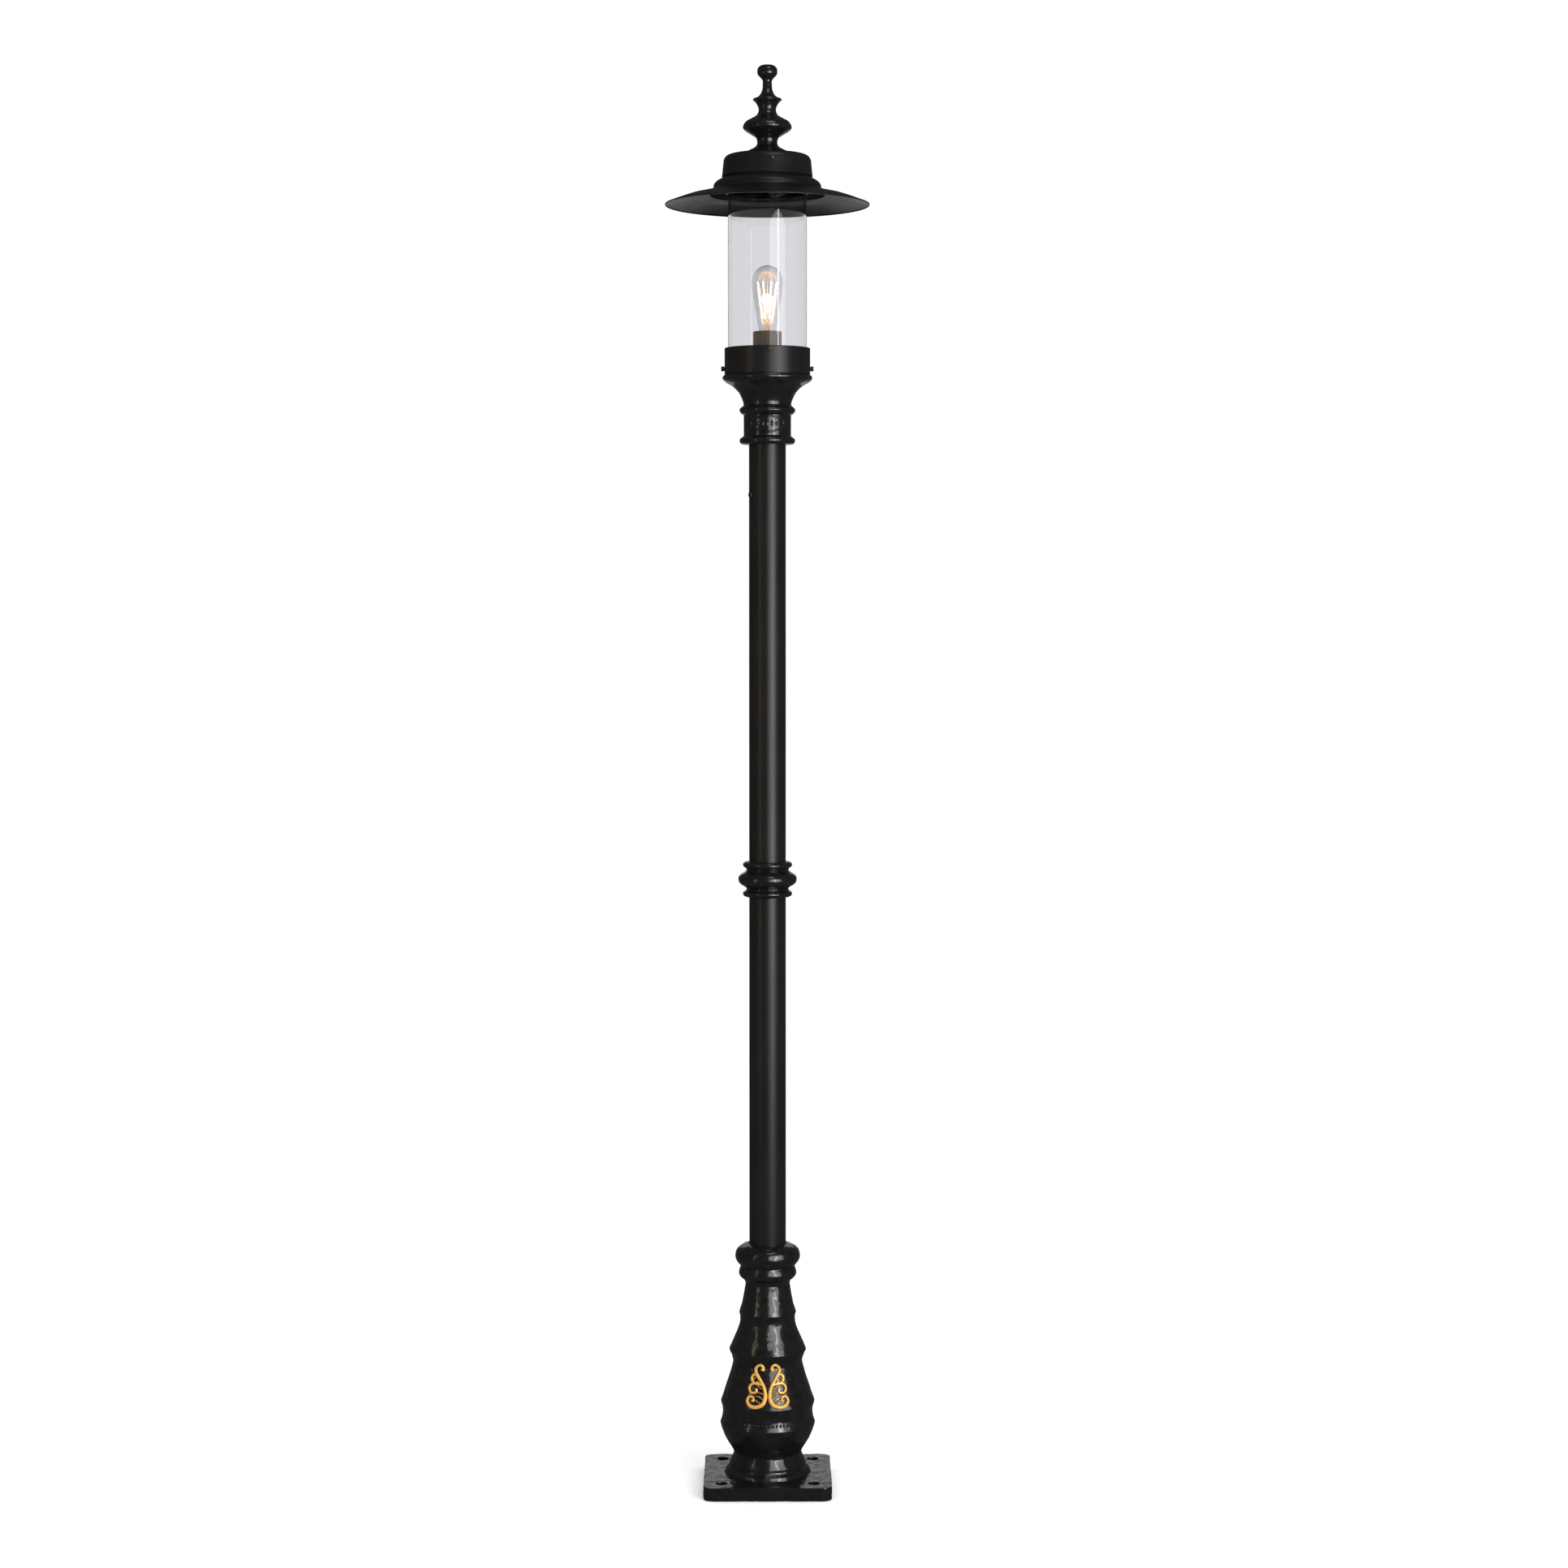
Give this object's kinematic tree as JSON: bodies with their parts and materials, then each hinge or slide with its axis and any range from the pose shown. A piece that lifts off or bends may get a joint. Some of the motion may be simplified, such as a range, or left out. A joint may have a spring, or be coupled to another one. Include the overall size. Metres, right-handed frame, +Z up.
{
  "type": "street lamp post",
  "caption": "Cast and tubular street lamp post with a square bolted base, ornamental pedestal, collar, glass cylinder lantern, wide brim, finial and screw-in bulb.",
  "frame": {"origin": "on the ground at the middle of the base plate, on the post's axis", "axes": "+Z up along the post, -Y towards the front, where the scrolls and the badge are, +X to the right"},
  "size_m": [0.42, 0.42, 2.942],
  "materials": {
    "cast_enamel": "gloss black enamel over a lumpy casting",
    "satin_enamel": "satin black enamel, slightly warm",
    "gilt": "gold paint with brown in its recesses",
    "black_screw": "blackened steel, worn at the socket's rim",
    "zinc_steel": "bright zinc plate",
    "brass": "plain turned brass",
    "aged_bronze": "antique bronze, brown",
    "porcelain": "glazed white",
    "nylon": "natural nylon",
    "rubber": "matte black",
    "clear_glass": "clear, faintly grey",
    "lit_filament": "lit warm white filaments"
  },
  "bodies": {
    "post": {"base_plate": "cast_enamel", "base_pedestal": "cast_enamel", "scroll_left": "gilt", "scroll_right": "gilt", "base_set_screw_1": "black_screw", "base_set_screw_2": "black_screw", "terminal_bracket": "zinc_steel", "bracket_screw_left": "zinc_steel", "bracket_screw_right": "zinc_steel", "terminal_block": "nylon", "lower_tube": "satin_enamel", "upper_tube": "satin_enamel", "joint_sleeve": "zinc_steel", "mid_collar": "cast_enamel", "collar_grub_screw_1": "black_screw", "collar_grub_screw_2": "black_screw", "head_spigot": "zinc_steel", "spigot_screw": "black_screw", "supply_cable": "rubber", "capital": "cast_enamel", "gallery_cup": "satin_enamel", "lower_gasket": "rubber", "gallery_screw_left": "black_screw", "gallery_screw_right": "black_screw", "glass_screw_1": "black_screw", "glass_screw_2": "black_screw", "glass_screw_3": "black_screw", "holder_nipple": "brass", "holder_locknut": "brass", "lampholder_body": "porcelain", "holder_screw_shell": "brass", "holder_contact": "brass", "holder_sleeve": "aged_bronze"},
    "lantern_glass": {"glass_cylinder": "clear_glass"},
    "lantern_top": {"brim": "satin_enamel", "crown": "satin_enamel", "crown_screw_1": "black_screw", "crown_screw_2": "black_screw", "crown_screw_3": "black_screw", "glass_cap_ring": "satin_enamel", "upper_gasket": "rubber", "finial": "cast_enamel", "finial_stud": "zinc_steel", "finial_washer": "zinc_steel", "finial_nut": "zinc_steel"},
    "bulb_carriage": {"bulb_contact_pip": "zinc_steel"},
    "bulb": {"bulb_cap": "brass", "bulb_insulator": "porcelain", "bulb_glass": "clear_glass", "filament_cage": "lit_filament"}
  },
  "joints": [
    {"name": "glass_lift", "type": "slide", "parent": "post", "child": "lantern_glass", "axis": [0, 0, 1], "range_m": [0, 0.25]},
    {"name": "crown_lift", "type": "slide", "parent": "lantern_glass", "child": "lantern_top", "axis": [0, 0, 1], "range_m": [0, 0.12]},
    {"name": "bulb_rise", "type": "slide", "parent": "post", "child": "bulb_carriage", "axis": [0, 0, 1], "range_m": [0, 0.01815]},
    {"name": "bulb_turn", "type": "hinge", "parent": "bulb_carriage", "child": "bulb", "pos_m": [0, 0, 2.38], "axis": [0, 0, 1], "range_deg": [0, 1800]}
  ],
  "couplings": [
    {"joint": "bulb_turn", "follows": "bulb_rise", "rad_per_m": 1731.4}
  ]
}
